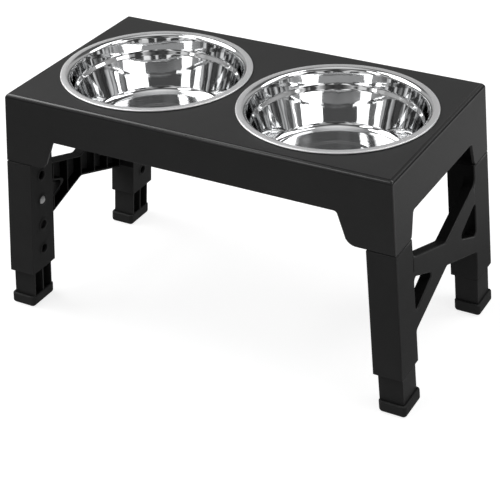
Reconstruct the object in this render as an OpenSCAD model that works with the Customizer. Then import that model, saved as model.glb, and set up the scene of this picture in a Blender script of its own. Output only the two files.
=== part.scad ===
// Raised feeder for a dog: a moulded tray with two lift-out steel bowls, on two leg frames that
// fold in under it. Each leg telescopes and locks with a snap button at one of several heights.
// Millimetres, +Z up. The origin is on the floor under the middle of the tray, front is -Y.
// A "drop" is a distance down from the top of the tray. A "depth" is a distance in from the
// leaning outer face of an end, square to that face.

/* [Tray] */
// Length of the tray's top, left to right
tray_len = 420; // [414:1:440]
// Width of the tray's top, front to back
tray_wid = 228; // [224:1:250]
// Thickness of the top plate
top_thk = 3.5; // [2.5:0.5:5]
// Thickness of the skirt walls
wall_thk = 3; // [2:0.5:4]
// Bevel along the top edges
edge_bevel = 2.5; // [1:0.5:4]
// Lean of the end faces and the legs, in degrees
end_lean = 4.8; // [4:0.1:5.5]
// Draft of the front and back faces, in degrees
side_draft = 1.3; // [0.5:0.1:2]
// Drop to the lower edge of the front and back skirts
skirt_drop = 42.5; // [36:0.5:43]
// Drop to the lower edge of the end skirts
end_skirt_drop = 48.5; // [40:0.5:56]
// Drop to the underside of the corner stubs
stub_drop = 74.5; // [74.5:0.5:80]
// Distance from the tray's end to the foot of a stub's gusset, along the front
gusset_reach = 54; // [50:1:56]
// Slope of the gusset's free edge, in degrees from upright
gusset_angle = 20.5; // [18:0.5:24]
// Least radius of the gusset's lower corner, which also clears the swing of the leg
gusset_round = 12; // [8:0.5:14]
// Room between the gusset and the swing of the leg
swing_gap = 0.4; // [0.3:0.1:0.8]
// Width of the gap in the end skirts, at its top
end_gap_wid = 146; // [120:1:150]
// Slope of that gap's sides, in degrees from upright
end_gap_angle = 14; // [8:1:16]
// Radius of a stub's lower corner beside that gap
stub_round = 5; // [2:0.5:8]
// Radius in the corners where a skirt meets a stub
skirt_round = 4; // [2:0.5:6]
// Thickness of the rib across the middle, under the top plate
rib_thk = 2.5; // [1.5:0.5:4]
// Drop to the lower edge of that rib
rib_drop = 30; // [15:1:38]
// Thickness of the collar around each bowl hole
collar_thk = 2.5; // [1.5:0.5:3]
// Drop to the lower edge of the collars
collar_drop = 9; // [6:0.5:14]

/* [Bowls] */
// Distance between the middles of the bowls
bowl_pitch = 204; // [200:1:208]
// Outer radius of a bowl's rim
rim_r = 98.5; // [96:0.5:99]
// Width of the flat rim
rim_wid = 9.5; // [7:0.5:11]
// Height of the rim above the tray
rim_high = 2.2; // [1.8:0.1:3]
// Thickness of the bowl's sheet steel
bowl_gauge = 0.9; // [0.6:0.1:1.2]
// Drop to the middle of the bead that bowls stack on
step_drop = 17; // [12:0.5:22]
// How far the wall steps in at that bead
step_wid = 2.3; // [1.5:0.1:3]
// Height of that bead
step_high = 4; // [3:0.5:6]
// How far the wall above the bead draws in
upper_taper = 3.7; // [2:0.1:5]
// Radius of the bowl's floor, out to its corner
base_r = 72; // [66:0.5:74]
// Radius of that corner
base_round = 8; // [6:0.5:12]
// Drop to the underside of the bowl
bowl_drop = 58.5; // [50:0.5:60]
// Gap between a bowl's wall and its hole in the tray
bowl_gap = 1.6; // [1:0.1:2.5]
// Gap between the rim's turned edge and the tray
rim_gap = 0.3; // [0.1:0.1:0.5]
// How far the rim falls away to its outer edge
rim_fall = 0.4; // [0.2:0.1:0.6]
// Radius where the rim turns down at its outer edge
rim_round = 1.2; // [0.6:0.1:1.2]
// Radius where the rim turns down into the bowl
mouth_round = 2.5; // [1.5:0.1:3]
// Radius along both sides of the bead
step_round = 3; // [1:0.5:4]

/* [Leg frames] */
// Drop to the hinge axis
hinge_drop = 43; // [42.5:0.5:44]
// Seam between a stub and the leg below it
seam = 1; // [0.8:0.1:2]
// Thickness of an outer leg, square to the leaning face
leg_thk = 30; // [28:0.5:31]
// Width of an outer leg at its top, front to back
leg_wid = 37; // [34:0.5:40]
// Height of an outer leg below the seam
leg_high = 132.5; // [125:0.5:134]
// Outer leg: wall in the leaning face
face_wall = 1.8; // [1.4:0.1:2.2]
// Outer leg: wall that holds the lock holes
lock_wall = 2.4; // [1.8:0.1:3]
// Outer leg: wall at the tray's front or back, at the top of the leg
side_wall = 1.9; // [1.4:0.1:2.5]
// Outer leg: wall towards the brace
brace_wall = 3.5; // [2.5:0.1:4]
// Outer leg: closed top
cap_thk = 3; // [2:0.5:4]

/* [Brace] */
// Depth of the brace, in from the leaning face
brace_depth = 12; // [8:0.5:14]
// Thickness of its outer skin
brace_skin = 2.4; // [1.6:0.1:3]
// Thickness of the lips around its edges
brace_lip = 2.2; // [1.6:0.1:3]
// Distance down the leg to the brace's upper edge
brace_top = 19; // [15:0.5:24]
// How far the upper edge dips to the middle
brace_dip = 26; // [20:0.5:30]
// Height of the brace at its middle
brace_bar = 26; // [22:0.5:30]
// How far the lower edge drops from the middle to the legs
brace_rise = 27.5; // [22:0.5:32]
// Radius where the two bars cross
brace_round = 8; // [4:0.5:12]
// Radius where the brace's upper edge meets a leg
brace_fillet = 10; // [6:0.5:12]
// Radius where its lower edge meets a leg
brace_low_fillet = 4; // [2:0.5:6]
// Distance down the leg to the top of a window
window_top = 40; // [38:0.5:44]
// Height of a window beside the leg
window_high = 39; // [30:0.5:40]
// Slope of a window's sides: drop for each millimetre across
window_slope = 0.43; // [0.38:0.01:0.5]
// Radius in a window's corners
window_round = 4; // [2:0.5:6]
// Stiffening ribs on the inside of the brace
brace_ribs = 5; // [3:2:7]
// Distance between those ribs
brace_rib_pitch = 26; // [16:1:26]
// Thickness of those ribs
brace_rib_thk = 1.8; // [1.2:0.1:2.4]

/* [Locking] */
// Lock holes down each outer leg
hole_count = 4; // [4:1:4]
// Hole that the buttons sit in, counted from the top
rest_hole = 2; // [1:1:4]
// Distance between the lock holes, along the leg
hole_pitch = 30; // [26:0.5:31]
// Drop from the top of the leg to the first hole
hole_first = 18.5; // [17:0.5:20]
// Diameter of a lock hole
hole_d = 9.8; // [9.6:0.1:11]
// Diameter of the raised ring around a lock hole
ring_d = 14.5; // [13:0.5:16]
// Height of that ring
ring_proud = 0.5; // [0.3:0.1:0.8]
// Diameter of a snap button
button_d = 9; // [8:0.1:9.2]
// How far the button stands out of the leg
button_proud = 2.5; // [1.5:0.1:3]
// Height of the button's domed end
button_dome = 2.2; // [1:0.1:2.8]
// Length of the spring leaf, from its eye to the button
leaf_arm = 26; // [22:0.5:30]
// Length of the leaf beyond the button
leaf_tail = 6; // [5:0.5:8]
// Width of the spring leaf
leaf_wid = 9; // [7:0.5:11]
// Thickness of the spring leaf
leaf_thk = 0.8; // [0.6:0.1:1]
// Gap between the leaf and the wall in front of it
leaf_gap = 0.25; // [0.2:0.05:0.5]
// Diameter of the peg that the leaf's eye sits on
peg_d = 3; // [2.5:0.1:3.5]
// Radial play of the eye on its peg
peg_play = 0.05; // [0.02:0.01:0.1]

/* [Inner legs and feet] */
// Running gap around an inner leg
slide_gap = 0.2; // [0.15:0.05:0.4]
// Wall of an inner leg
inner_wall = 2.2; // [1.6:0.1:2.8]
// Rib down the middle of an inner leg's open channel
inner_rib = 2; // [1.4:0.1:2.6]
// Room left above an inner leg that is pushed right in
head_room = 1.5; // [1:0.5:3]
// Length of the closed box at the top of an inner leg
box_len = 50; // [48:1:56]
// Height of a foot
foot_high = 13; // [10:0.5:14]
// How far a foot stands out past its leg, away from the tray's middle
foot_over_out = 2.9; // [1:0.1:3.2]
// How far it stands out past its leg on the side of the lock holes
foot_over_in = 0.7; // [0.5:0.1:1.5]
// How far a foot stands out past its leg, front and back
foot_over_y = 3.6; // [2:0.1:4]
// Depth of the pocket in a foot that takes the leg
foot_pocket = 5; // [3:0.5:7]
// Gap around the leg in that pocket
foot_fit = 0.1; // [0.05:0.05:0.2]
// Radius of a foot's lower edges
foot_round = 3.5; // [2:0.5:5]
// Gap left above a foot that is pushed right in
foot_gap = 0.6; // [0.4:0.1:1]

/* [Hinges] */
// Diameter of a hinge pin
pin_d = 6; // [5:0.1:7]
// Radial play of a pin in the leg's ear
pin_play = 0.06; // [0.02:0.01:0.1]
// Radial fit of a pin in the tray
pin_fit = 0.02; // [0.02:0.01:0.05]
// Thickness of the ear on a leg
ear_thk = 9.5; // [8:0.5:10.5]
// Radius of the ear around its pin
ear_r = 9; // [8:0.5:10]
// Play on each side of an ear
ear_gap = 0.4; // [0.3:0.1:0.8]
// Thickness of the tray's rib that carries the pin's head
hinge_rib_thk = 4; // [3:0.5:5]
// Length of the boss on the skirt that carries the pin's end
boss_len = 2.6; // [2:0.1:3.2]
// Radius of that boss, and of the rib around the pin
boss_r = 8; // [7:0.5:10]
// Depth of the pin's hole in the skirt behind the boss
pin_bite = 1; // [0.6:0.1:1.4]
// Diameter of the pin's head
pin_head_d = 10; // [8.5:0.5:12]
// Thickness of the pin's head
pin_head_thk = 2.5; // [2:0.5:3.5]

/* [Hidden] */
SIDES = ["left", "right"];
ENDS = ["front", "back"];
function corner_names(part) = [for (e = ENDS) for (s = SIDES) str(part, "_", e, "_", s)];
$fn = 64;

plastic_black = "#262626";
rubber_black = "#1a1a1a";
bowl_steel = "#c9ccce";
spring_steel = "#8a8a8a";

// Overshoot that carries a cut clear of the face it leaves by, and sinks a joined piece in
cut = 1;
sink = 1;
arc_steps = 6;

// Heights: the leg's parts follow each other down from the tray's top to the floor
leg_top = stub_drop + seam;
leg_bottom = leg_top + leg_high;
step_rise = hole_pitch * cos(end_lean);
extension = (rest_hole - 1) * step_rise;
foot_top = leg_bottom + foot_gap + extension;
stand_high = foot_top + foot_high;
top_z = stand_high;

// Hinge axis: as far from the leg's leaning face as from the stub's underside, so that a folded
// leg lies flush with the stubs
axis_depth = stub_drop - hinge_drop;
axis_x = lean_x(hinge_drop) - axis_depth / cos(end_lean);
axis_z = top_z - hinge_drop;
leg_corner = [lean_x(leg_top) - leg_thk / cos(end_lean) - axis_x, hinge_drop - leg_top];
swing_r = norm(leg_corner) - swing_gap;

// Front to back, at one corner, from the middle of the tray outwards
leg_in_y = side_y(leg_top) - leg_wid;
slot_y1 = leg_in_y + brace_wall;
slot_y2 = side_y(leg_top) - side_wall;
inner_y1 = slot_y1 + slide_gap;
inner_y2 = slot_y2 - slide_gap;
inner_mid_y = (inner_y1 + inner_y2) / 2;
skirt_in_y = side_y(hinge_drop) - wall_thk;
boss_y = skirt_in_y - boss_len;
ear_y2 = boss_y - ear_gap;
ear_y1 = ear_y2 - ear_thk;
hinge_rib_y2 = ear_y1 - ear_gap;
hinge_rib_y1 = hinge_rib_y2 - hinge_rib_thk;
pin_end_y = skirt_in_y + pin_bite;

// Depths in an inner leg
inner_n1 = face_wall + slide_gap;
inner_n2 = leg_thk - lock_wall - slide_gap;
inner_top = leg_top + cap_thk + head_room + extension;
inner_bottom = foot_top + foot_pocket;
button_drop = leg_top + hole_first + extension;
leaf_n2 = inner_n2 - inner_wall - leaf_gap;
eye_r = peg_d / 2 + peg_play + leaf_thk;
eye_n = leaf_n2 - eye_r;
eye_drop = button_drop + leaf_arm * cos(end_lean);

// Bowls
mouth_r = rim_r - rim_wid;
bowl_hole_r = mouth_r + bowl_gauge + bowl_gap;

// Brace, in distances down the leaning face
brace_s = leg_top / cos(end_lean) + brace_top;
brace_mid_top = brace_s + brace_dip;
brace_mid_low = brace_mid_top + brace_bar;
brace_low = brace_mid_low + brace_rise;
top_slope = brace_dip / leg_in_y;
low_slope = brace_rise / leg_in_y;
window_s = leg_top / cos(end_lean) + window_top;

// Outer face of the right end, and of the back, at a drop
function lean_x(drop) = tray_len / 2 + drop * tan(end_lean);
function side_y(drop) = tray_wid / 2 + drop * tan(side_draft);

// How far a line moves along one axis when it is set off square to itself by g
function set_off(slope, g) = g * sqrt(1 + slope * slope);
function unit(v) = v / norm(v);
function heading(v) = atan2(v[1], v[0]);

// A corner p between neighbours a and b, rounded to radius r
function rounded_corner(a, p, b, r) =
    r <= 0 ? [p] :
    let (
        to_a = unit(a - p),
        to_b = unit(b - p),
        half = acos(to_a * to_b) / 2,
        middle = p + unit(to_a + to_b) * r / sin(half),
        from = p + to_a * r / tan(half) - middle,
        to = p + to_b * r / tan(half) - middle,
        start = heading(from),
        sweep = heading([from * to, cross(from, to)])
    )
    [for (i = [0 : arc_steps]) let (t = start + sweep * i / arc_steps) middle + r * [cos(t), sin(t)]];

// A closed outline from corners [x, y, radius]
function rounded(corners) =
    let (n = len(corners), at = function(i) let (c = corners[(i + n) % n]) [c[0], c[1]])
    [for (i = [0 : n - 1]) each rounded_corner(at(i - 1), at(i), at(i + 1), corners[i][2])];

// Corners on the other side of the middle, in reverse order
function mirrored(corners) =
    [for (i = [len(corners) - 1 : -1 : 0])
        let (c = corners[i])
        [-c[0], c[1], c[2]]];

// Radius that brings a corner, between an edge and a heading, inside the swing of the leg's top:
// the farthest point of the arc from the hinge axis then lies on the circle of that swing
function swing_round(edge, corner, along) =
    let (
        axis = [axis_x, axis_z],
        to_edge = unit(edge - corner),
        half = acos(to_edge * along) / 2,
        bisector = unit(to_edge + along) / sin(half),
        out = corner - axis,
        a = bisector * bisector - 1,
        b = bisector * out + swing_r,
        c = out * out - swing_r * swing_r
    )
    c <= 0 ? 0 : (-b - sqrt(b * b - a * c)) / a;

// An open line with its inner corners rounded
function rounded_line(corners) =
    let (n = len(corners), at = function(i) [corners[i][0], corners[i][1]])
    [for (i = [0 : n - 1])
        each (i == 0 || i == n - 1 ? [at(i)] : rounded_corner(at(i - 1), at(i), at(i + 1), corners[i][2]))];

// The same line set off to its right by g
function right_of(v) = [v[1], -v[0]];
function line_beside(line, g) =
    let (n = len(line), way = function(i) unit(line[i + 1] - line[i]))
    [for (i = [0 : n - 1])
        let (
            before = right_of(way(max(i - 1, 0))),
            after = right_of(way(min(i, n - 2))),
            mean = unit(before + after)
        )
        line[i] + mean * g / (mean * after)];

// Outlines in X and Z become solids from y1 to y2, and outlines in Y and Z from x1 to x2
module along_y(outline, y1, y2) {
    translate([0, y2, 0])
        rotate([90, 0, 0])
            linear_extrude(y2 - y1)
                polygon(outline);
}
module along_x(outline, x1, x2) {
    translate([x1, 0, 0])
        rotate([90, 0, 90])
            linear_extrude(x2 - x1)
                polygon(outline);
}

// A block that leans with the right end: depths n1 to n2, drops d1 to d2
module lean_block(n1, n2, d1, d2, y1, y2, low_round = 0) {
    corners = [[n1, d1, 0], [n2, d1, 0], [n2, d2, low_round], [n1, d2, low_round]];
    along_y(
        rounded([for (c = corners) [lean_x(c[1]) - c[0] / cos(end_lean), top_z - c[1], c[2]]]),
        y1, y2
    );
}

// Everything between the front and back faces, set in by a wall
module between_sides(d1, d2, wall) {
    half = tray_len;
    along_x(
        [[-side_y(d1) + wall, top_z - d1], [side_y(d1) - wall, top_z - d1],
         [side_y(d2) - wall, top_z - d2], [-side_y(d2) + wall, top_z - d2]],
        -half, half
    );
}

// Everything between the two leaning ends, set in by a wall
module between_ends(d1, d2, wall) {
    inset = wall / cos(end_lean);
    half = tray_wid;
    along_y(
        [[-lean_x(d1) + inset, top_z - d1], [lean_x(d1) - inset, top_z - d1],
         [lean_x(d2) - inset, top_z - d2], [-lean_x(d2) + inset, top_z - d2]],
        -half, half
    );
}

// Children are made for the back right corner, and mirrored to the others
module at_side(side) {
    mirror([side == "left" ? 1 : 0, 0, 0])
        children();
}
module at_end(end) {
    mirror([0, end == "front" ? 1 : 0, 0])
        children();
}
module at_corners() {
    for (s = SIDES)
        for (e = ENDS)
            at_side(s)
                at_end(e)
                    children();
}

// The plane of the right end's leaning face: Y across it, Z up along it, X square out of it
module on_lean() {
    translate([tray_len / 2, 0, top_z])
        rotate([0, -end_lean, 0])
            children();
}

// A line square through the leg's lock wall, which it leaves at that drop: Z points out along it,
// and the origin is on the line at depth n
module facing_lock(n, drop) {
    translate([lean_x(drop) - leg_thk / cos(end_lean), inner_mid_y, top_z - drop])
        rotate([0, -90 - end_lean, 0])
            translate([0, 0, n - leg_thk])
                children();
}

// The hinge axis, with Z along +Y from y1
module on_axis(y1) {
    translate([axis_x, y1, axis_z])
        rotate([-90, 0, 0])
            children();
}

// The tray's outside, filled: leaning faces up to the bevel, and the bevel along the top edges
module tray_block() {
    intersection() {
        between_sides(edge_bevel, stub_drop, 0);
        between_ends(edge_bevel, stub_drop, 0);
    }
    intersection() {
        along_x(
            [[-side_y(edge_bevel), top_z - edge_bevel], [-tray_wid / 2 + edge_bevel, top_z],
             [tray_wid / 2 - edge_bevel, top_z], [side_y(edge_bevel), top_z - edge_bevel]],
            -tray_len, tray_len
        );
        along_y(
            [[-lean_x(edge_bevel), top_z - edge_bevel], [-tray_len / 2 + edge_bevel, top_z],
             [tray_len / 2 - edge_bevel, top_z], [lean_x(edge_bevel), top_z - edge_bevel]],
            -tray_wid, tray_wid
        );
    }
}

// The gap under the front and back skirts, between the gussets of the corner stubs
module skirt_gap() {
    foot_x = tray_len / 2 - gusset_reach;
    low_x = foot_x + (stub_drop - skirt_drop) * tan(gusset_angle);
    low_z = top_z - stub_drop;
    edge = [foot_x, top_z - skirt_drop];
    corner = [low_x, low_z];
    round = max(gusset_round, swing_round(edge, corner, [1, 0]));
    half = [[low_x + round, low_z - cut, 0], [low_x + round, low_z, 0], [low_x, low_z, round],
            [edge[0], edge[1], skirt_round]];
    along_y(rounded(concat(half, mirrored(half))), -tray_wid, tray_wid);
}

// The gap under the end skirts, between the corner stubs
module end_gap() {
    low_y = end_gap_wid / 2 + (stub_drop - end_skirt_drop) * tan(end_gap_angle);
    low_z = top_z - stub_drop;
    half = [[low_y + stub_round, low_z - cut, 0], [low_y + stub_round, low_z, 0], [low_y, low_z, stub_round],
            [end_gap_wid / 2, top_z - end_skirt_drop, skirt_round]];
    along_x(rounded(concat(half, mirrored(half))), -tray_len, tray_len);
}

module at_bowls() {
    for (s = [-1, 1])
        translate([s * bowl_pitch / 2, 0, top_z])
            children();
}

// What carries one hinge pin: a rib under the top plate, and a boss on the skirt
module hinge_seat() {
    difference() {
        union() {
            along_y(
                [[axis_x - boss_r, axis_z], [axis_x - boss_r, top_z - sink],
                 [lean_x(0) - wall_thk / 2, top_z - sink], [lean_x(hinge_drop) - wall_thk / 2, axis_z]],
                hinge_rib_y1, hinge_rib_y2
            );
            on_axis(hinge_rib_y1)
                cylinder(h = hinge_rib_thk, r = boss_r);
            on_axis(boss_y)
                cylinder(h = boss_len + sink, r = boss_r);
        }
        on_axis(hinge_rib_y1 - cut)
            cylinder(h = pin_end_y - hinge_rib_y1 + cut, d = pin_d + 2 * pin_fit);
    }
}

module tray_shell() {
    color(plastic_black) {
        difference() {
            tray_block();
            intersection() {
                between_sides(top_thk, stub_drop + cut, wall_thk);
                between_ends(top_thk, stub_drop + cut, wall_thk);
            }
            skirt_gap();
            end_gap();
            at_bowls()
                translate([0, 0, -collar_drop])
                    cylinder(h = collar_drop + cut, r = bowl_hole_r);
            at_corners()
                on_axis(skirt_in_y - cut)
                    cylinder(h = pin_bite + cut, d = pin_d + 2 * pin_fit);
        }
        at_bowls()
            translate([0, 0, -collar_drop])
                difference() {
                    cylinder(h = collar_drop - sink, r = bowl_hole_r + collar_thk);
                    translate([0, 0, -cut])
                        cylinder(h = collar_drop + 2 * cut, r = bowl_hole_r);
                }
        translate([-rib_thk / 2, -skirt_in_y - sink, top_z - rib_drop])
            cube([rib_thk, 2 * (skirt_in_y + sink), rib_drop - sink]);
        at_corners()
            hinge_seat();
    }
}

// A bowl's section: the inside of the sheet, from the turned edge of the rim to the middle
function bowl_line() = rounded_line([
    [rim_r, rim_gap, 0],
    [rim_r, rim_high - rim_fall, rim_round],
    [mouth_r, rim_high, mouth_round],
    [mouth_r - upper_taper, step_high / 2 - step_drop, step_round],
    [mouth_r - upper_taper - step_wid, -step_high / 2 - step_drop, step_round],
    [base_r, bowl_gauge - bowl_drop, base_round],
    [0, bowl_gauge - bowl_drop, 0]
]);

module bowl(side) {
    line = bowl_line();
    beside = line_beside(line, -bowl_gauge);
    n = len(line);
    color(bowl_steel)
        at_side(side)
            translate([bowl_pitch / 2, 0, top_z])
                rotate_extrude()
                    polygon(concat(line, [for (i = [n - 1 : -1 : 0]) beside[i]]));
}

// An ear rises from the top of a leg to the hinge axis
module ear() {
    on_axis(ear_y1)
        cylinder(h = ear_thk, r = ear_r);
    along_y(
        [[axis_x - ear_r, axis_z], [axis_x + ear_r, axis_z],
         [lean_x(leg_top) - wall_thk - ear_gap - face_wall, top_z - leg_top - sink],
         [lean_x(leg_top) - leg_thk / cos(end_lean), top_z - leg_top - sink]],
        ear_y1, ear_y2
    );
}

module outer_leg() {
    intersection() {
        lean_block(0, leg_thk, leg_top, leg_bottom, leg_in_y, side_y(leg_bottom) + cut);
        between_sides(leg_top - cut, leg_bottom + cut, 0);
    }
    for (i = [0 : hole_count - 1])
        facing_lock(leg_thk, leg_top + hole_first + i * step_rise)
            translate([0, 0, -sink])
                cylinder(h = sink + ring_proud, d = ring_d);
    ear();
}

// The slot that the inner leg runs in, the lock holes and the ear's bore
module outer_leg_cuts() {
    lean_block(face_wall, leg_thk - lock_wall, leg_top + cap_thk, leg_bottom + cut, slot_y1, slot_y2);
    for (i = [0 : hole_count - 1])
        facing_lock(leg_thk, leg_top + hole_first + i * step_rise)
            translate([0, 0, -lock_wall - cut])
                cylinder(h = lock_wall + ring_proud + 2 * cut, d = hole_d);
    on_axis(ear_y1 - cut)
        cylinder(h = ear_thk + 2 * cut, d = pin_d + 2 * pin_play);
}

// Outline of the brace across the leaning face, with its ends sunk in the legs
function brace_half() = [
    [leg_in_y + sink, -brace_s + brace_fillet, 0],
    [leg_in_y, -brace_s + brace_fillet, 0],
    [leg_in_y, -brace_s, brace_fillet],
    [0, -brace_mid_top, brace_round]
];
function brace_low_half() = [
    [0, -brace_mid_low, brace_round],
    [leg_in_y, -brace_low, brace_low_fillet],
    [leg_in_y, -brace_low - brace_low_fillet, 0],
    [leg_in_y + sink, -brace_low - brace_low_fillet, 0]
];
function all_but_last(list) = [for (i = [0 : len(list) - 2]) list[i]];
function all_but_first(list) = [for (i = [1 : len(list) - 1]) list[i]];
function brace_outline() = concat(
    brace_half(),
    all_but_first(mirrored(brace_half())),
    mirrored(brace_low_half()),
    all_but_first(brace_low_half())
);

// The hollow behind the brace's skin, inside its lips
function brace_hollow() =
    let (
        g = brace_lip,
        y = leg_in_y - g,
        top = -brace_s - g * top_slope - set_off(top_slope, g),
        mid_top = -brace_mid_top - set_off(top_slope, g),
        mid_low = -brace_mid_low + set_off(low_slope, g),
        low = -brace_low + g * low_slope + set_off(low_slope, g)
    )
    [[y, top, 0], [0, mid_top, brace_round], [-y, top, 0],
     [-y, low, 0], [0, mid_low, brace_round], [y, low, 0]];

// A window beside a leg, grown by g
function window(g) =
    let (
        y = leg_in_y + g,
        off = set_off(window_slope, g) + g * window_slope,
        high = -window_s + off,
        low = -window_s - window_high - off,
        tip = y - (high - low) / 2 / window_slope
    )
    [[y, high, window_round], [tip, (high + low) / 2, window_round], [y, low, window_round]];

module windows(grow, x1, x2) {
    for (e = ENDS)
        at_end(e)
            along_x(rounded(window(grow)), x1, x2);
}

module brace() {
    first_rib = -(brace_ribs - 1) / 2 * brace_rib_pitch - brace_rib_thk / 2;
    on_lean()
        difference() {
            along_x(rounded(brace_outline()), -brace_depth, 0);
            windows(0, -brace_depth - cut, cut);
            difference() {
                along_x(rounded(brace_hollow()), -brace_depth - cut, -brace_skin);
                windows(brace_lip, -brace_depth - 2 * cut, cut);
                for (i = [0 : brace_ribs - 1])
                    translate([-brace_depth, first_rib + i * brace_rib_pitch, -brace_low])
                        cube([brace_depth, brace_rib_thk, brace_low]);
            }
        }
}

module leg_frame(side) {
    color(plastic_black)
        at_side(side)
            difference() {
                union() {
                    for (e = ENDS)
                        at_end(e)
                            outer_leg();
                    brace();
                }
                for (e = ENDS)
                    at_end(e)
                        outer_leg_cuts();
            }
}

// A closed box at the top that holds the snap button, over an open channel with a middle rib
module inner_leg(side, end) {
    box_end = inner_top + box_len;
    channel = box_end + inner_wall;
    y1 = inner_y1 + inner_wall;
    y2 = inner_y2 - inner_wall;
    n1 = inner_n1 + inner_wall;
    color(plastic_black)
        at_side(side)
            at_end(end)
                difference() {
                    union() {
                        difference() {
                            lean_block(inner_n1, inner_n2, inner_top, inner_bottom, inner_y1, inner_y2);
                            lean_block(n1, inner_n2 - inner_wall, inner_top - cut, box_end, y1, y2);
                            lean_block(n1, inner_n2 + cut, channel, inner_bottom - inner_wall,
                                y1, inner_mid_y - inner_rib / 2);
                            lean_block(n1, inner_n2 + cut, channel, inner_bottom - inner_wall,
                                inner_mid_y + inner_rib / 2, y2);
                        }
                        translate([0, y1 - sink - inner_mid_y, 0])
                            facing_lock(eye_n, eye_drop)
                                rotate([-90, 0, 0])
                                    cylinder(h = y2 - y1 + 2 * sink, d = peg_d);
                    }
                    facing_lock(inner_n2, button_drop)
                        translate([0, 0, -inner_wall - cut])
                            cylinder(h = inner_wall + 2 * cut, d = hole_d);
                }
}

module foot(side, end) {
    y1 = inner_y1 - foot_over_y;
    y2 = inner_y2 + foot_over_y;
    color(rubber_black)
        at_side(side)
            at_end(end)
                difference() {
                    intersection() {
                        lean_block(inner_n1 - foot_over_out, inner_n2 + foot_over_in, foot_top, stand_high,
                            y1, y2, foot_round);
                        along_x(
                            rounded([[y1, foot_high, 0], [y2, foot_high, 0],
                                     [y2, 0, foot_round], [y1, 0, foot_round]]),
                            0, tray_len
                        );
                    }
                    lean_block(inner_n1 - foot_fit, inner_n2 + foot_fit, foot_top - cut, inner_bottom,
                        inner_y1 - foot_fit, inner_y2 + foot_fit);
                }
}

// A spring leaf with an eye at its foot and a domed button near its head
module snap_button(side, end) {
    reach = leg_thk + button_proud - leaf_n2;
    dome_r = (button_d * button_d / 4 + button_dome * button_dome) / (2 * button_dome);
    half = asin(button_d / 2 / dome_r);
    color(spring_steel)
        at_side(side)
            at_end(end) {
                facing_lock(leaf_n2, button_drop)
                    rotate_extrude()
                        polygon(concat(
                            [[0, -leaf_thk / 2], [button_d / 2, -leaf_thk / 2]],
                            [for (i = [0 : arc_steps])
                                let (t = half * (1 - i / arc_steps))
                                [dome_r * sin(t), reach - dome_r + dome_r * cos(t)]]
                        ));
                facing_lock(leaf_n2, button_drop)
                    translate([-leaf_arm, -leaf_wid / 2, -leaf_thk])
                        cube([leaf_arm + leaf_tail, leaf_wid, leaf_thk]);
                translate([0, -leaf_wid / 2, 0])
                    facing_lock(eye_n, eye_drop)
                        rotate([-90, 0, 0])
                            difference() {
                                cylinder(h = leaf_wid, r = eye_r);
                                translate([0, 0, -cut])
                                    cylinder(h = leaf_wid + 2 * cut, d = peg_d + 2 * peg_play);
                            }
            }
}

module hinge_pin(side, end) {
    color(spring_steel)
        at_side(side)
            at_end(end) {
                on_axis(hinge_rib_y1 - pin_head_thk)
                    cylinder(h = pin_head_thk, d = pin_head_d);
                on_axis(hinge_rib_y1 - sink)
                    cylinder(h = pin_end_y - hinge_rib_y1 + sink - pin_fit, d = pin_d);
            }
}

tray_shell();
for (s = SIDES) {
    bowl(s);
    leg_frame(s);
    for (e = ENDS) {
        inner_leg(s, e);
        foot(s, e);
        snap_button(s, e);
        hinge_pin(s, e);
    }
}
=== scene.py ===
from math import acos, cos, pi, radians, sin, tan

import bmesh
import bpy
from mathutils import Matrix, Quaternion, Vector


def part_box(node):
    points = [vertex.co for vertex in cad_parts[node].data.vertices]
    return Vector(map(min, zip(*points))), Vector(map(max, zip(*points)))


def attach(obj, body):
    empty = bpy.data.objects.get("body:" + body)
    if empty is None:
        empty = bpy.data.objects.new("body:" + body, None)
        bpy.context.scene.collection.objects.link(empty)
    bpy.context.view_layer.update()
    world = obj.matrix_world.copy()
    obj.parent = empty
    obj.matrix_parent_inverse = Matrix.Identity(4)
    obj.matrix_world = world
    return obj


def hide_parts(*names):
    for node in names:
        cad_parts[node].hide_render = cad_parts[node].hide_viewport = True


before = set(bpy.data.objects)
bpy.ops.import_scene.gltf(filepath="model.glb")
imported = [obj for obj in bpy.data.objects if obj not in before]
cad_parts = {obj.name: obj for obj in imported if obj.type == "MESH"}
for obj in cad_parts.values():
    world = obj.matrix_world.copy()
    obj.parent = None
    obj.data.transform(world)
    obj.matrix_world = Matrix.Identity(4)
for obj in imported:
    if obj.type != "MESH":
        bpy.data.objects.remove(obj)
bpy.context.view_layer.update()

# The stand in millimetres, as on the part. A drop is a distance down from the tray's top.
MM = 0.001
TOP_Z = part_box("tray_shell")[1].z / MM
TRAY_LEN = 420.0
TRAY_WID = 228.0
END_LEAN = radians(4.8)
SIDE_DRAFT = radians(1.3)
EDGE_BEVEL = 2.5
SKIRT_DROP = 12.0
LEG_TOP = 75.5
LEG_BOTTOM = 208.0
LEG_THK = 30.0
LEG_INSIDE = 80.5
BRACE_LOW = 172.0
SIDES = {"left": -1, "right": 1}
ENDS = {"front": -1, "back": 1}

# A bowl: radii, heights over the tray's top, depths under it, and the roll at each turn of its line.
BOWL_PITCH = 204.0
BOWL_GAUGE = 0.9
RIM_R = 98.5
RIM_LOW = 0.7
RIM_HIGH = 2.0
RIM_ROLL = 1.2
MOUTH_R = 89.0
MOUTH_HIGH = 2.2
MOUTH_ROLL = 6.0
BEAD_TOP_R = 85.3
BEAD_TOP_DEPTH = 15.0
BEAD_LOW_R = 83.0
BEAD_LOW_DEPTH = 19.0
BEAD_ROLL = 7.0
BASE_R = 72.2
BASE_DEPTH = 56.7
BASE_ROLL = 8.0
RING_R = 41.0
RING_INNER_R = 38.0
RING_DEPTH = 57.6
RING_ROLL = 2.0
TURN_STEPS = 6
SPIN_STEPS = 144

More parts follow.
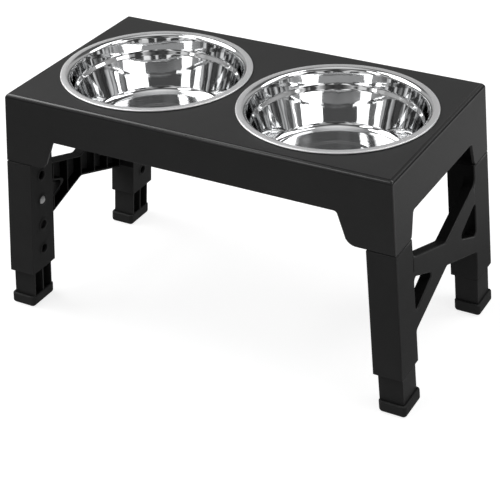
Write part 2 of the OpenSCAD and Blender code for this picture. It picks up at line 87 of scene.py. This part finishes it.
# A foot: how far in it goes from the legs' leaning face, its place from front to back, and its lip.
FOOT_DEPTH = (-0.9, 28.1)
FOOT_ALONG = (78.81, 117.21)
FOOT_TALL = 13.0
FOOT_LIP = 3.0
FOOT_WALL = 0.8

# Rolled edges: radius, and steps round it.
TRAY_ROLL = (1.5, 5)
SKIRT_ROLL = (0.5, 2)
LEG_ROLL = (1.4, 4)
LEG_FINE_ROLL = (0.4, 2)
INNER_LEG_ROLL = (0.5, 2)
FOOT_CORNER_ROLL = (4.0, 6)
FOOT_SOLE_ROLL = (3.7, 5)
FOOT_TOP_ROLL = (1.3, 4)

# How faces and edges are told apart: by nearness, turn, height, or the way that they look.
WELD = 0.002
FLAT = radians(0.4)
TOUCH = 0.1
ON_FACE = 0.05
OFF_FACE = 0.5
INNER_DEPTH = 1.2
LEG_END = 1.6
SHARP = radians(50)
TRAY_SHARP = radians(20)
TRAY_UPRIGHT = 20.0
INNER_LEG_UPRIGHT = 60.0
SIDEWAYS = 0.8
DOWNWARDS = -0.05
UPWARDS = 0.99

# Marks on faces, which the plastics read: one for rolled edges, and one for painted shade, which darkens the
# colour.
EDGE_MARK = "rolled_edge"
# Painted shade: faces with this mark get a far darker colour.
PAINTED_SHADE_MARK = "inner_wall"


def lean_x(drop):
    return TRAY_LEN / 2 + drop * tan(END_LEAN)


def side_y(drop):
    return TRAY_WID / 2 + drop * tan(SIDE_DRAFT)


def face_depth(point):
    """How far a point is in from the leaning face of its own end, square to that face."""
    return (lean_x(TOP_Z - point.z) - abs(point.x)) * cos(END_LEAN)


# Nodes of the finishes, the floor and the room

def add(tree, kind, **values):
    """A node of that kind, with its settings and the values on its sockets."""
    node = tree.nodes.new(kind)
    for name, value in values.items():
        if hasattr(node, name):
            setattr(node, name, value)
        else:
            node.inputs[name.replace("_", " ")].default_value = value
    return node


def place(tree):
    return add(tree, "ShaderNodeTexCoord").outputs["Object"]


def mapped(tree, where, **values):
    """A place that is moved or stretched."""
    node = add(tree, "ShaderNodeMapping", **values)
    tree.links.new(where, node.inputs["Vector"])
    return node.outputs["Vector"]


def how_far(tree, where):
    """How far a place is from the middle."""
    node = add(tree, "ShaderNodeVectorMath", operation="LENGTH")
    tree.links.new(where, node.inputs[0])
    return node.outputs["Value"]


def along(tree, where, way):
    """How far a place lies along a way."""
    node = add(tree, "ShaderNodeVectorMath", operation="DOT_PRODUCT")
    node.inputs[1].default_value = way
    tree.links.new(where, node.inputs[0])
    return node.outputs["Value"]


def grain(tree, where, scale, detail=4.0, roughness=0.6):
    node = add(tree, "ShaderNodeTexNoise", Scale=scale, Detail=detail, Roughness=roughness)
    tree.links.new(where, node.inputs["Vector"])
    return node.outputs["Fac"]


def spread(tree, value, low, high, start=0.35, stop=0.65):
    """The value, from start to stop, spread over low to high."""
    node = add(tree, "ShaderNodeMapRange")
    for socket, number in zip(("From Min", "From Max", "To Min", "To Max"), (start, stop, low, high)):
        node.inputs[socket].default_value = number
    tree.links.new(value, node.inputs["Value"])
    return node.outputs["Result"]


def maths(tree, operation, first, second):
    """One sum on two values, each from a node or a plain number."""
    node = add(tree, "ShaderNodeMath", operation=operation)
    for socket, value in zip(node.inputs, (first, second)):
        if isinstance(value, bpy.types.NodeSocket):
            tree.links.new(value, socket)
        else:
            socket.default_value = value
    return node.outputs["Value"]


def scaled(tree, colour, factor):
    node = add(tree, "ShaderNodeVectorMath", operation="SCALE")
    tree.links.new(colour, node.inputs[0])
    tree.links.new(factor, node.inputs["Scale"])
    return node.outputs["Vector"]


def mixed(tree, share, first, second):
    """The first colour going over into the second."""
    node = add(tree, "ShaderNodeMix", data_type="RGBA")
    tree.links.new(share, node.inputs["Factor"])
    tree.links.new(first, node.inputs[6])
    tree.links.new(second, node.inputs[7])
    return node.outputs[2]


def tones(tree, value, *stops):
    """Colours along a value, from pairs of place and colour."""
    node = add(tree, "ShaderNodeValToRGB")
    ramp = node.color_ramp
    while len(ramp.elements) < len(stops):
        ramp.elements.new(0.5)
    for element, (position, colour) in zip(ramp.elements, stops):
        element.position = position
        element.color = (*colour, 1)
    tree.links.new(value, node.inputs["Fac"])
    return node.outputs["Color"]


def greys(tree, value, *stops):
    """Greys along a value, from pairs of place and level."""
    return tones(tree, value, *((position, (level, level, level)) for position, level in stops))


def bumps(tree, heights, strength, distance, over=None):
    """Relief from heights, over a coarser relief where there is one."""
    node = add(tree, "ShaderNodeBump", Strength=strength, Distance=distance)
    tree.links.new(heights, node.inputs["Height"])
    if over:
        tree.links.new(over, node.inputs["Normal"])
    return node.outputs["Normal"]


def where_marked(tree, mark, change):
    """A factor of 1, which becomes the change on the faces that carry the mark."""
    marked = add(tree, "ShaderNodeAttribute", attribute_name=mark).outputs["Fac"]
    return spread(tree, marked, 1.0, change, 0.0, 1.0)


# Finishes

EDGE_ROUGHNESS = 0.3
# Painted shade: the share of its colour that a face with the shade mark keeps.
PAINTED_SHADE_LEVEL = 0.1
ETCHED_SPREAD = (-0.05, 0.06)
RUBBER_GLOSS = 0.3
BUTTON_METAL = 0.85

# A bowl's satin base and rim fade into its polished wall between these radii, in millimetres.
BASE_FADE = (64.0, 70.0)
RIM_FADE = (91.4, 92.6)
OUTER_RIM = 98.0
FADE_REACH = 100.0
STEEL_ROUGHNESS = (
    (0.0, 0.17), (BASE_FADE[0], 0.15), (BASE_FADE[1], 0.03),
    (RIM_FADE[0], 0.03), (RIM_FADE[1], 0.47), (OUTER_RIM, 0.52),
)
WALL_COLOURS = ((0.25, (0.70, 0.705, 0.71)), (0.75, (0.76, 0.765, 0.77)))
RIM_COLOURS = ((0.3, (0.88, 0.88, 0.885)), (0.7, (0.97, 0.97, 0.975)))


def new_finish(name):
    finish = bpy.data.materials.new(name)
    finish.use_nodes = True
    tree = finish.node_tree
    return finish, tree, tree.nodes["Principled BSDF"]


def dress(tree, skin, colour, roughness, relief):
    tree.links.new(colour, skin.inputs["Base Color"])
    tree.links.new(roughness, skin.inputs["Roughness"])
    tree.links.new(relief, skin.inputs["Normal"])


def moulded_plastic(name, dark, light, rough, gloss):
    """Satin black plastic with the fine grain of an etched mould, smoother on its rolled edges,
    and with painted shade, a much darker colour, on the faces marked for it."""
    finish, tree, skin = new_finish(name)
    where = place(tree)
    clouds = grain(tree, where, scale=38.0, detail=5.0)
    etched = grain(tree, where, scale=2100.0, detail=2.0, roughness=0.5)
    black = greys(tree, clouds, (0.3, dark), (0.7, light))
    satin = spread(tree, etched, *(rough + change for change in ETCHED_SPREAD))
    dress(
        tree, skin,
        # Painted shade: the colour falls to a tenth on faces with the shade mark.
        colour=scaled(tree, black, where_marked(tree, PAINTED_SHADE_MARK, PAINTED_SHADE_LEVEL)),
        roughness=maths(tree, "MULTIPLY", satin, where_marked(tree, EDGE_MARK, EDGE_ROUGHNESS)),
        relief=bumps(tree, etched, strength=0.2, distance=0.0001),
    )
    skin.inputs["Specular IOR Level"].default_value = gloss
    return finish


def foot_rubber():
    """Dull black rubber, dusty in places, with fine pores."""
    finish, tree, skin = new_finish("foot_rubber")
    where = place(tree)
    dust = grain(tree, where, scale=55.0, detail=6.0)
    pores = grain(tree, where, scale=1500.0, detail=3.0)
    dress(
        tree, skin,
        colour=greys(tree, dust, (0.3, 0.018), (0.75, 0.030)),
        roughness=spread(tree, dust, low=0.62, high=0.78),
        relief=bumps(tree, pores, strength=0.3, distance=0.0002),
    )
    skin.inputs["Specular IOR Level"].default_value = RUBBER_GLOSS
    return finish


def spun_steel(name, centre_x):
    """Bright steel: polished walls, and a satin rim and base with the fine rings of spinning."""
    finish, tree, skin = new_finish(name)
    where = mapped(tree, place(tree), Location=(-centre_x * MM, 0, 0))
    radius = how_far(tree, mapped(tree, where, Scale=(1, 1, 0)))
    spinning = add(tree, "ShaderNodeTexNoise", noise_dimensions="1D", Scale=5200.0, Detail=3.0)
    tree.links.new(radius, spinning.inputs["W"])
    rings = spinning.outputs["Fac"]
    clouds = grain(tree, where, scale=26.0)
    drawn = grain(tree, mapped(tree, where, Scale=(1, 1, 0.22)), scale=62.0, detail=2.0, roughness=0.45)

    share_out = spread(tree, radius, 0.0, 1.0, 0.0, FADE_REACH * MM)
    satin = greys(tree, share_out, *((r / FADE_REACH, rough) for r, rough in STEEL_ROUGHNESS))
    on_rim = spread(tree, radius, 0.0, 1.0, RIM_FADE[0] * MM, RIM_FADE[1] * MM)
    waves = bumps(tree, drawn, strength=0.35, distance=0.0006)
    dress(
        tree, skin,
        colour=mixed(tree, on_rim, tones(tree, clouds, *WALL_COLOURS), tones(tree, rings, *RIM_COLOURS)),
        roughness=maths(tree, "ADD", spread(tree, rings, low=-0.03, high=0.04), satin),
        relief=bumps(tree, rings, strength=0.05, distance=0.00004, over=waves),
    )
    skin.inputs["Metallic"].default_value = 1.0
    return finish


def button_steel():
    """Dull grey steel, brushed one way."""
    finish, tree, skin = new_finish("button_steel")
    lines = grain(tree, mapped(tree, place(tree), Scale=(900, 60, 900)), scale=1.5, detail=3.0)
    dress(
        tree, skin,
        colour=greys(tree, lines, (0.3, 0.50), (0.7, 0.60)),
        roughness=spread(tree, lines, low=0.34, high=0.5),
        relief=bumps(tree, lines, strength=0.1, distance=0.00005),
    )
    skin.inputs["Metallic"].default_value = BUTTON_METAL
    return finish


TRAY_PLASTIC = moulded_plastic("tray_plastic", dark=0.0165, light=0.0190, rough=0.53, gloss=0.5)
LEG_PLASTIC = moulded_plastic("leg_plastic", dark=0.0380, light=0.0420, rough=0.50, gloss=0.08)
INNER_PLASTIC = moulded_plastic("inner_leg_plastic", dark=0.0240, light=0.0275, rough=0.46, gloss=0.18)
RUBBER = foot_rubber()
BUTTON_STEEL = button_steel()


# Making pieces. An edge that turns by more than CRISP isn't smoothed over in the shading.

CRISP = radians(38)
EVEN_WEIGHT = 60


def piece(name, bm, finish, slot, body, *nodes):
    """A finished mesh in millimetres becomes a piece that rides on a body and stands for its nodes."""
    bmesh.ops.remove_doubles(bm, verts=bm.verts, dist=WELD)
    bmesh.ops.dissolve_degenerate(bm, dist=WELD, edges=bm.edges)
    bmesh.ops.triangulate(bm, faces=[f for f in bm.faces if len(f.verts) > 4])
    bmesh.ops.scale(bm, vec=(MM, MM, MM), verts=bm.verts)
    mesh = bpy.data.meshes.new(name)
    bm.to_mesh(mesh)
    bm.free()
    mesh.materials.append(finish)
    mesh.shade_smooth()
    mesh.set_sharp_from_angle(angle=CRISP)
    obj = bpy.data.objects.new(name, mesh)
    bpy.context.scene.collection.objects.link(obj)
    even = obj.modifiers.new("even_shading", "WEIGHTED_NORMAL")
    even.keep_sharp = True
    even.weight = EVEN_WEIGHT
    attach(obj, body)
    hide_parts(*nodes)


def moulding(node):
    """The node's own skin in millimetres, welded, with its flat triangles joined into faces."""
    bm = bmesh.new()
    bm.from_mesh(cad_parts[node].data)
    bm.faces.layers.float.new(EDGE_MARK)
    bm.faces.layers.float.new(PAINTED_SHADE_MARK)
    bmesh.ops.scale(bm, vec=(1 / MM, 1 / MM, 1 / MM), verts=bm.verts)
    bmesh.ops.remove_doubles(bm, verts=bm.verts, dist=WELD)
    bmesh.ops.dissolve_limit(bm, angle_limit=FLAT, verts=bm.verts, edges=bm.edges)
    return bm


def soften(bm, roll, wanted, sharper=SHARP):
    """Rounds the outward edges that are wanted, and marks them."""
    radius, steps = roll
    edges = [
        e for e in bm.edges
        if e.is_manifold and e.calc_face_angle_signed() > sharper and wanted(*(v.co for v in e.verts))
    ]
    rounded = bmesh.ops.bevel(
        bm, geom=edges, offset=radius, offset_type="OFFSET", affect="EDGES",
        segments=steps, profile=0.5, material=-1, clamp_overlap=False,
    )
    mark = bm.faces.layers.float[EDGE_MARK]
    for face in rounded["faces"]:
        face[mark] = 1.0


def mark_painted_shade(bm, wanted):
    """Marks the faces that are wanted for painted shade, which the plastics darken."""
    bm.normal_update()
    mark = bm.faces.layers.float[PAINTED_SHADE_MARK]
    for face in bm.faces:
        if wanted(face.calc_center_median(), face.normal):
            face[mark] = 1.0


def both(test):
    """A test of an edge that both its ends pass."""
    return lambda a, b: test(a) and test(b)


# The tray

def on_tray_outside(p):
    drop = TOP_Z - p.z
    on_end = face_depth(p) < TOUCH
    on_side = side_y(drop) - abs(p.y) < TOUCH
    by_end = abs(p.x) > TRAY_LEN / 2 - EDGE_BEVEL - TOUCH
    by_side = abs(p.y) > TRAY_WID / 2 - EDGE_BEVEL - TOUCH
    return on_end or on_side or (drop < EDGE_BEVEL + TOUCH and (by_end or by_side))


def on_tray_edge(a, b):
    """An edge round the tray's top or up one of its corners."""
    upright = abs(a.z - b.z) > TRAY_UPRIGHT
    top = min(a.z, b.z) > TOP_Z - EDGE_BEVEL - TOUCH
    return on_tray_outside(a) and on_tray_outside(b) and (top or upright)


def on_skirt(p):
    return p.z < TOP_Z - SKIRT_DROP and on_tray_outside(p)


def tray():
    bm = moulding("tray_shell")
    soften(bm, TRAY_ROLL, on_tray_edge, TRAY_SHARP)
    soften(bm, SKIRT_ROLL, both(on_skirt))
    piece("moulded_tray", bm, TRAY_PLASTIC, "black_plastic", "stand", "tray_shell")


tray()


# The bowls

# Radius, height and roll at each turn, from the rim's outer edge to the middle of the base.
BOWL_LINE = (
    (RIM_R, RIM_LOW, 0),
    (RIM_R, RIM_HIGH, RIM_ROLL),
    (MOUTH_R, MOUTH_HIGH, MOUTH_ROLL),
    (BEAD_TOP_R, -BEAD_TOP_DEPTH, BEAD_ROLL),
    (BEAD_LOW_R, -BEAD_LOW_DEPTH, BEAD_ROLL),
    (BASE_R, -BASE_DEPTH, BASE_ROLL),
    (RING_R, -BASE_DEPTH, RING_ROLL),
    (RING_INNER_R, -RING_DEPTH, RING_ROLL),
    (0, -RING_DEPTH, 0),
)


def bowl(side, sign):
    """The bowl's line, rounded at its turns, spun round the middle and given the sheet's gauge."""
    bm = bmesh.new()
    centre = Vector((sign * BOWL_PITCH / 2, 0, TOP_Z))
    corners = [bm.verts.new(centre + Vector((r, 0, z))) for r, z, _ in BOWL_LINE]
    for a, b in zip(corners, corners[1:]):
        bm.edges.new((a, b))
    for corner, (_, _, roll) in zip(corners, BOWL_LINE):
        if roll:
            ways = [(e.other_vert(corner).co - corner.co).normalized() for e in corner.link_edges]
            turn = pi - acos(ways[0].dot(ways[1]))
            bmesh.ops.bevel(
                bm, geom=[corner], offset=roll * tan(turn / 2), offset_type="OFFSET", affect="VERTICES",
                segments=TURN_STEPS, profile=0.5, material=-1, clamp_overlap=False,
            )
    bmesh.ops.spin(
        bm, geom=bm.verts[:] + bm.edges[:], cent=centre, axis=(0, 0, 1), dvec=(0, 0, 0),
        angle=2 * pi, steps=SPIN_STEPS, use_merge=True, use_duplicate=False,
    )
    bmesh.ops.remove_doubles(bm, verts=bm.verts, dist=WELD)
    bmesh.ops.recalc_face_normals(bm, faces=bm.faces)
    bmesh.ops.solidify(bm, geom=bm.faces[:], thickness=BOWL_GAUGE)
    steel = spun_steel(f"spun_steel_{side}", centre.x)
    piece(f"spun_bowl_{side}", bm, steel, "bowl_steel", f"bowl_{side}", f"bowl_{side}")


for side, sign in SIDES.items():
    bowl(side, sign)


# The leg frames, inner legs, feet and buttons

def behind_leg_face(p):
    return OFF_FACE < face_depth(p) < LEG_THK + TOUCH and p.z < TOP_Z - LEG_TOP + TOUCH


def painted_shade_between_legs(p, normal):
    """A wall of the brace or of its windows, which gets painted shade."""
    over_brace_end = p.z > TOP_Z - BRACE_LOW
    between = abs(p.y) < LEG_INSIDE and face_depth(p) > INNER_DEPTH
    return over_brace_end and between and abs(normal.x) < SIDEWAYS


# A downward face at a leg's lower end, given painted shade as a dark line.
def painted_shade_at_leg_end(p, normal):
    return p.z < TOP_Z - LEG_BOTTOM + LEG_END and normal.z < DOWNWARDS


def leg_frame(side):
    bm = moulding(f"leg_frame_{side}")
    soften(bm, LEG_ROLL, both(lambda p: face_depth(p) < ON_FACE))
    soften(bm, LEG_FINE_ROLL, both(behind_leg_face))
    bmesh.ops.bisect_plane(
        bm, geom=bm.verts[:] + bm.edges[:] + bm.faces[:],
        plane_co=(0, 0, TOP_Z - BRACE_LOW), plane_no=(0, 0, 1),
    )
    # Painted shade on the brace's walls and windows, and on the downward faces at the legs' lower ends.
    mark_painted_shade(bm, painted_shade_between_legs)
    mark_painted_shade(bm, painted_shade_at_leg_end)
    name = f"leg_frame_{side}"
    piece(f"moulded_{name}", bm, LEG_PLASTIC, "black_plastic", name, name)


def inner_leg(side, end):
    name = f"inner_leg_{end}_{side}"
    bm = moulding(name)
    soften(bm, INNER_LEG_ROLL, lambda a, b: abs(a.z - b.z) > INNER_LEG_UPRIGHT)
    piece(f"moulded_{name}", bm, INNER_PLASTIC, "black_plastic", name, name)


def foot(side, end):
    """A rubber shoe: a leaning block with round corners and a lip round the leg that stands in it."""
    deep = (FOOT_DEPTH[1] - FOOT_DEPTH[0]) / cos(END_LEAN)
    depth = sum(FOOT_DEPTH) / 2 / cos(END_LEAN)
    wide = FOOT_ALONG[1] - FOOT_ALONG[0]
    bm = bmesh.new()
    bm.faces.layers.float.new(EDGE_MARK)
    bmesh.ops.create_cube(bm, size=1.0)
    bmesh.ops.transform(bm, verts=bm.verts, matrix=Matrix((
        (deep, 0, -FOOT_TALL * tan(END_LEAN), lean_x(TOP_Z - FOOT_TALL / 2) - depth),
        (0, wide, 0, sum(FOOT_ALONG) / 2),
        (0, 0, FOOT_TALL, FOOT_TALL / 2),
        (0, 0, 0, 1),
    )))
    soften(bm, FOOT_CORNER_ROLL, lambda a, b: abs(a.z - b.z) > FOOT_TALL / 2)
    soften(bm, FOOT_SOLE_ROLL, both(lambda p: p.z < WELD))
    soften(bm, FOOT_TOP_ROLL, both(lambda p: p.z > FOOT_TALL - WELD))
    bm.normal_update()
    lid = max((f for f in bm.faces if f.normal.z > UPWARDS), key=lambda f: f.calc_area())
    bmesh.ops.inset_region(bm, faces=[lid], thickness=FOOT_WALL, use_even_offset=True)
    pocket = bmesh.ops.extrude_face_region(bm, geom=[lid])["geom"]
    bmesh.ops.delete(bm, geom=[lid], context="FACES_ONLY")
    sunk = [v for v in pocket if isinstance(v, bmesh.types.BMVert)]
    bmesh.ops.translate(bm, vec=(0, 0, -FOOT_LIP), verts=sunk)
    bmesh.ops.scale(bm, vec=(SIDES[side], ENDS[end], 1), verts=bm.verts)
    bmesh.ops.recalc_face_normals(bm, faces=bm.faces)
    name = f"foot_{end}_{side}"
    piece(f"rubber_{name}", bm, RUBBER, "foot_rubber", f"inner_leg_{end}_{side}", name)


def snap_button(side, end):
    name = f"snap_button_{end}_{side}"
    piece(f"sprung_button_{end}_{side}", moulding(name), BUTTON_STEEL, "spring_steel", name, name)


def hinge_pin(side, end):
    """The pin keeps its own shape and gets a steel finish."""
    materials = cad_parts[f"hinge_pin_{end}_{side}"].data.materials
    materials.clear()
    materials.append(BUTTON_STEEL)


for side in SIDES:
    leg_frame(side)
    for end in ENDS:
        inner_leg(side, end)
        foot(side, end)
        snap_button(side, end)
        hinge_pin(side, end)


# The floor, in metres. Under each pair of levels are the two distances that it is spread between.

FLOOR_REACH = 9.0
FLOOR_SIDES = 128
SEEN_GREY = 0.42
SEEN_GLOW = (0.80, 1.0)
SEEN_GLOW_AWAY = (0.5, 2.0)
# Painted shade: to bounced and mirrored light the floor is a darker grey, darkest towards the back and left.
BOUNCE_WAY = (0.8, -0.6, 0)
BOUNCE_PAINTED_SHADE_GREY = (0.03, 0.28)
BOUNCE_ALONG = (-0.45, -0.05)
# Painted light: a glowing patch under the stand, which only what mirrors the floor shows.
STAND_PAINTED_LIGHT = (0.32, 0.0)
STAND_PAINTED_LIGHT_REACH = (0.22, 0.32)

# The pool of light on the floor that shows in what mirrors it: pairs of a share of its reach and a level.
POOL_REACH = 2.5
POOL_LEVELS = ((0.15, 0.0), (0.23, 0.27), (0.45, 0.24), (0.9, 0.02))
POOL_WAY = (0.95, 0.3, 0)
POOL_SHARE = (0.0, 2.0)
POOL_ALONG = (-0.05, 0.35)


def floor_white():
    """White to the eye with the stand's shadow kept, and dimmer in what mirrors it and in bounced light, with
    painted shade towards the back and left and painted light under the stand.
    """
    finish = bpy.data.materials.new("floor_white")
    finish.use_nodes = True
    tree = finish.node_tree
    tree.nodes.clear()
    where = place(tree)
    away = how_far(tree, where)
    light = add(tree, "ShaderNodeLightPath").outputs
    matt = add(tree, "ShaderNodeBsdfDiffuse")
    glow = add(tree, "ShaderNodeEmission", Color=(1, 1, 1, 1))

    shade = add(tree, "ShaderNodeMix", data_type="FLOAT")
    tree.links.new(light["Is Camera Ray"], shade.inputs["Factor"])
    # Painted shade: all but the camera see the floor in this darker grey.
    bounced = spread(tree, along(tree, where, BOUNCE_WAY), *BOUNCE_PAINTED_SHADE_GREY, *BOUNCE_ALONG)
    tree.links.new(bounced, shade.inputs[2])
    shade.inputs[3].default_value = SEEN_GREY
    tree.links.new(shade.outputs[0], matt.inputs["Color"])

    seen = maths(tree, "MULTIPLY", light["Is Camera Ray"], spread(tree, away, *SEEN_GLOW, *SEEN_GLOW_AWAY))
    rings = greys(tree, spread(tree, away, 0.0, 1.0, 0.0, POOL_REACH), *POOL_LEVELS)
    pool = scaled(tree, rings, spread(tree, along(tree, where, POOL_WAY), *POOL_SHARE, *POOL_ALONG))
    # Painted light: what mirrors the floor sees the pool, or the patch under the stand where that is
    # brighter.
    pale = maths(tree, "MAXIMUM", pool, spread(tree, away, *STAND_PAINTED_LIGHT, *STAND_PAINTED_LIGHT_REACH))
    mirrored = maths(tree, "MAXIMUM", light["Is Glossy Ray"], light["Is Transmission Ray"])
    level = maths(tree, "MAXIMUM", seen, maths(tree, "MULTIPLY", mirrored, pale))
    tree.links.new(level, glow.inputs["Strength"])

    together = add(tree, "ShaderNodeAddShader")
    tree.links.new(matt.outputs["BSDF"], together.inputs[0])
    tree.links.new(glow.outputs["Emission"], together.inputs[1])
    out = add(tree, "ShaderNodeOutputMaterial")
    tree.links.new(together.outputs["Shader"], out.inputs["Surface"])
    return finish


def floor():
    bm = bmesh.new()
    bmesh.ops.create_circle(bm, cap_ends=True, segments=FLOOR_SIDES, radius=FLOOR_REACH)
    mesh = bpy.data.meshes.new("floor")
    bm.to_mesh(mesh)
    bm.free()
    mesh.materials.append(floor_white())
    obj = bpy.data.objects.new("floor", mesh)
    bpy.context.scene.collection.objects.link(obj)


# The light. A room's levels run from the horizon, 0, to straight up, 1.

ROOM_BEHIND = (
    (0.0, 0.03), (0.12, 0.08), (0.32, 0.45), (0.48, 0.44), (0.58, 0.08), (0.90, 0.06), (1.0, 0.9),
)
ROOM_BEFORE = (
    (0.0, 0.35), (0.2, 0.7), (0.36, 0.6), (0.55, 0.5), (0.66, 0.6), (0.8, 0.1), (0.92, 0.02), (1.0, 0.9),
)
BEFORE_WAY = (0.491, -0.871, 0)
BEFORE_EDGE = (0.2, 0.7)
PANEL_STRETCH = (2.6, 2.6, 0.5)
PANEL_LEVELS = (0.03, 1.8)
PANEL_EDGE = (0.44, 0.56)
DARK_WAY = (0.420, -0.745, 0.5185)
DARK_LEVELS = (1.0, 0.05)
DARK_EDGE = (0.93, 0.985)
MIRRORED_WHITE = 0.04
LIT_POINT = Vector((0, 0, 0.2))

# Softboxes: bearing from +X and height in degrees, distance, width and length in metres, and level.
SOFTBOXES = {
    "softbox_left": (188, 39, 1.8, 1.65, 1.2, 3.1),
    "softbox_right": (37, 39, 1.8, 0.8, 1.2, 2.8),
    "softbox_high_left": (186, 59, 1.8, 1.1, 0.7, 2.5),
    "softbox_high_right": (36, 60, 1.8, 0.7, 0.7, 2.3),
    "softbox_front_left": (243.5, 46.5, 1.95, 0.45, 1.1, 3.6),
    "softbox_front_right": (-4, 40, 2.0, 0.7, 0.8, 2.7),
}


def softbox(name, bearing, height, distance, width, length, level):
    """An oval lamp that faces the stand. Its level is the brightness of its face."""
    turn = radians(bearing)
    up = radians(height)
    way = Vector((cos(turn) * cos(up), sin(turn) * cos(up), sin(up)))
    lamp = bpy.data.lights.new(name, "AREA")
    lamp.shape = "ELLIPSE"
    lamp.size = width
    lamp.size_y = length
    lamp.energy = level * pi * width * length * pi / 4
    obj = bpy.data.objects.new(name, lamp)
    facing = way.to_track_quat("Z", "Y").to_matrix().to_4x4()
    obj.matrix_world = Matrix.Translation(LIT_POINT + way * distance) @ facing
    bpy.context.scene.collection.objects.link(obj)


def room():
    """A room with a pale band behind the stand and pale panels before it, and a dark place among them."""
    world = bpy.data.worlds.new("studio")
    bpy.context.scene.world = world
    world.use_nodes = True
    tree = world.node_tree
    way = add(tree, "ShaderNodeTexCoord").outputs["Generated"]
    split = add(tree, "ShaderNodeSeparateXYZ")
    tree.links.new(way, split.inputs["Vector"])
    height = split.outputs["Z"]

    panels = grain(tree, mapped(tree, way, Scale=PANEL_STRETCH), scale=2.0, detail=1.0)
    behind = greys(tree, height, *ROOM_BEHIND)
    before = scaled(tree, greys(tree, height, *ROOM_BEFORE), spread(tree, panels, *PANEL_LEVELS, *PANEL_EDGE))
    share_before = spread(tree, along(tree, way, BEFORE_WAY), 0.0, 1.0, *BEFORE_EDGE)
    walls = tree.nodes["Background"]
    tree.links.new(mixed(tree, share_before, behind, before), walls.inputs["Color"])
    dark_place = spread(tree, along(tree, way, DARK_WAY), *DARK_LEVELS, *DARK_EDGE)
    tree.links.new(dark_place, walls.inputs["Strength"])

    light = add(tree, "ShaderNodeLightPath").outputs
    mirrored = maths(tree, "MULTIPLY", light["Is Glossy Ray"], MIRRORED_WHITE)
    straight = maths(tree, "MAXIMUM", light["Is Camera Ray"], light["Is Transmission Ray"])
    white = add(tree, "ShaderNodeBackground", Color=(1, 1, 1, 1))
    surround = add(tree, "ShaderNodeMixShader")
    tree.links.new(maths(tree, "MAXIMUM", mirrored, straight), surround.inputs["Fac"])
    tree.links.new(walls.outputs["Background"], surround.inputs[1])
    tree.links.new(white.outputs["Background"], surround.inputs[2])
    tree.links.new(surround.outputs["Shader"], tree.nodes["World Output"].inputs["Surface"])


# The camera, in metres, with its bearing round the stand from the front.

CAMERA_BEARING = radians(29.44)
CAMERA_HEIGHT = radians(31.23)
CAMERA_ROLL = radians(-1.73)
CAMERA_TARGET = Vector((0.1528, -0.2693, 0.2515))
CAMERA_DISTANCE = 1.1713
CAMERA_LENS = 104.23
CAMERA_SENSOR = 36.0


def camera():
    flat = cos(CAMERA_HEIGHT)
    back = Vector((sin(CAMERA_BEARING) * flat, -cos(CAMERA_BEARING) * flat, sin(CAMERA_HEIGHT)))
    data = bpy.data.cameras.new("camera")
    data.lens = CAMERA_LENS
    data.sensor_width = CAMERA_SENSOR
    obj = bpy.data.objects.new("camera", data)
    turn = back.to_track_quat("Z", "Y") @ Quaternion((0, 0, 1), CAMERA_ROLL)
    obj.matrix_world = Matrix.Translation(CAMERA_TARGET + back * CAMERA_DISTANCE) @ turn.to_matrix().to_4x4()
    bpy.context.scene.collection.objects.link(obj)
    bpy.context.scene.camera = obj


floor()
room()
for name, values in SOFTBOXES.items():
    softbox(name, *values)
camera()
bpy.context.scene.view_settings.view_transform = "Standard"
